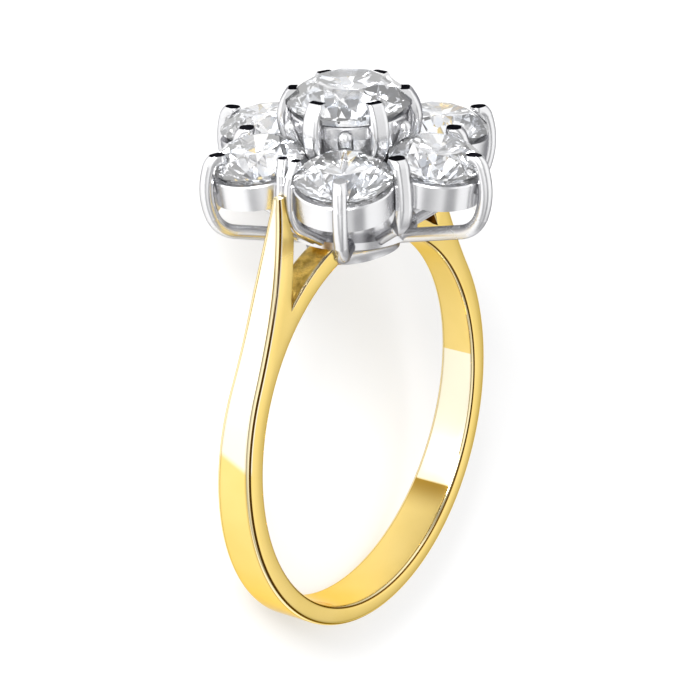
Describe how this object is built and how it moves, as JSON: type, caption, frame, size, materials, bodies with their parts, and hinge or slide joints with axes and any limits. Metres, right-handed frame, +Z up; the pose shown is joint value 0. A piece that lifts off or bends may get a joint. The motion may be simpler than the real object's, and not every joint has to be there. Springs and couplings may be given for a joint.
{
  "type": "cluster ring",
  "caption": "Finger ring with a daisy cluster head: a raised round stone among smaller round stones in a claw setting, on a plain band with pointed split shoulders.",
  "frame": {"origin": "centre of the bounding box in X and Y, at the floor that the ring lies on", "axes": "the ring lies on its side: X runs across the two shoulders, -Y runs from the finger to the head, and +Z is up, with the finger axis leaning 15.7 degrees from it"},
  "size_m": [0.0192, 0.0254, 0.014],
  "materials": {
    "shank": "polished",
    "setting": "polished",
    "centre_stone": "polished",
    "outer_stone_1": "polished",
    "outer_stone_2": "polished",
    "outer_stone_3": "polished",
    "outer_stone_4": "polished",
    "outer_stone_5": "polished",
    "outer_stone_6": "polished"
  },
  "bodies": {
    "root": {"shank": "shank", "setting": "setting", "centre_stone": "centre_stone", "outer_stone_1": "outer_stone_1", "outer_stone_2": "outer_stone_2", "outer_stone_3": "outer_stone_3", "outer_stone_4": "outer_stone_4", "outer_stone_5": "outer_stone_5", "outer_stone_6": "outer_stone_6"}
  },
  "joints": []
}
